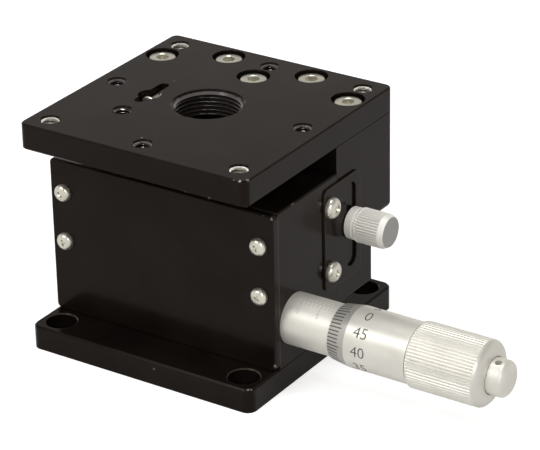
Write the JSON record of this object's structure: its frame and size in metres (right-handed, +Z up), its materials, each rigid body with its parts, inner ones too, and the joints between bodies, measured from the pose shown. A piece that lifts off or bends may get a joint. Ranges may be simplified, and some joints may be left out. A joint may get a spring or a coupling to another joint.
{
  "type": "vertical micrometer stage",
  "caption": "Compact vertical positioning stage: a drilled square plate raised by a side micrometer through a bell crank, guided by crossed rollers, with a side clamp.",
  "frame": {"origin": "centre of the base plate's underside", "axes": "+Z up, the way the stage plate lifts; +X out along the micrometer head; -Y towards the front cover"},
  "size_m": [0.1142, 0.06, 0.056],
  "materials": {
    "black_anodised": "warm brown-black anodised aluminium, fine satin grain",
    "nickel_screw": "bright nickel plate",
    "satin_aluminium": "satin chrome-like aluminium",
    "ground_steel": "hardened and ground",
    "plain_steel": "machined",
    "spring_wire": "bright wire",
    "cage_brass": "plain"
  },
  "bodies": {
    "frame": {"base_plate": "black_anodised", "body_block": "black_anodised", "front_cover": "black_anodised", "cover_screws": "nickel_screw", "base_screws": "nickel_screw", "fixed_rail_left": "ground_steel", "fixed_rail_right": "ground_steel", "fixed_rail_screws": "plain_steel", "micrometer_sleeve": "satin_aluminium", "sleeve_set_screw": "plain_steel", "adjusting_nut": "plain_steel", "spindle_key": "plain_steel", "clamp_plate": "black_anodised", "clamp_plate_screws": "nickel_screw", "lower_spring_pin": "plain_steel", "lever_pivot_pin": "plain_steel", "pivot_retaining_ring": "spring_wire"},
    "stage": {"carriage": "black_anodised", "top_plate": "black_anodised", "top_plate_screws": "nickel_screw", "moving_rail_left": "ground_steel", "moving_rail_right": "ground_steel", "moving_rail_screws": "plain_steel", "upper_spring_pin": "plain_steel", "lift_post": "plain_steel", "return_spring": "spring_wire"},
    "lever": {"bell_crank": "plain_steel", "pivot_bush": "cage_brass", "drive_roller_pin": "plain_steel", "lift_roller_pin": "plain_steel"},
    "drive_roller": {"drive_roller": "ground_steel"},
    "lift_roller": {"lift_roller": "ground_steel"},
    "left_cage": {"left_roller_cage": "cage_brass", "left_cage_rollers": "ground_steel"},
    "right_cage": {"right_roller_cage": "cage_brass", "right_cage_rollers": "ground_steel"},
    "spindle": {"spindle": "ground_steel"},
    "thimble": {"thimble": "satin_aluminium", "thimble_end_cap": "satin_aluminium", "drive_screw": "ground_steel"},
    "clamp_knob": {"clamp_knob": "satin_aluminium", "clamp_stud": "plain_steel"}
  },
  "joints": [
    {"name": "stage_lift", "type": "slide", "parent": "frame", "child": "stage", "axis": [0, 0, 1], "range_m": [-0.005, 0.005], "deforming": ["return_spring"]},
    {"name": "spindle_slide", "type": "slide", "parent": "frame", "child": "spindle", "axis": [1, 0, 0], "range_m": [-0.005, 0.005]},
    {"name": "thimble_spin", "type": "hinge", "parent": "spindle", "child": "thimble", "pos_m": [0.0623, -0.012, 0.0159], "axis": [1, 0, 0], "range_deg": [-3600, 3600]},
    {"name": "lever_swing", "type": "hinge", "parent": "frame", "child": "lever", "pos_m": [-0.0014, -0.012, 0.0289], "axis": [0, 1, 0], "range_deg": [-22.63, 22.63]},
    {"name": "drive_roller_spin", "type": "hinge", "parent": "lever", "child": "drive_roller", "pos_m": [-0.0014, -0.012, 0.0159], "axis": [0, 1, 0], "continuous": true},
    {"name": "lift_roller_spin", "type": "hinge", "parent": "lever", "child": "lift_roller", "pos_m": [-0.0144, -0.012, 0.0289], "axis": [0, 1, 0], "continuous": true},
    {"name": "left_cage_travel", "type": "slide", "parent": "frame", "child": "left_cage", "axis": [0, 0, 1], "range_m": [-0.0025, 0.0025]},
    {"name": "right_cage_travel", "type": "slide", "parent": "frame", "child": "right_cage", "axis": [0, 0, 1], "range_m": [-0.0025, 0.0025]},
    {"name": "clamp_knob_turn", "type": "hinge", "parent": "stage", "child": "clamp_knob", "pos_m": [0.036, 0.0111, 0.0298], "axis": [1, 0, 0], "range_deg": [-45, 315]}
  ],
  "couplings": [
    {"joint": "spindle_slide", "follows": "stage_lift", "ratio": -1},
    {"joint": "thimble_spin", "follows": "stage_lift", "rad_per_m": -12566},
    {"joint": "lever_swing", "follows": "stage_lift", "rad_per_m": 78.95},
    {"joint": "left_cage_travel", "follows": "stage_lift", "ratio": 0.5},
    {"joint": "right_cage_travel", "follows": "stage_lift", "ratio": 0.5}
  ]
}
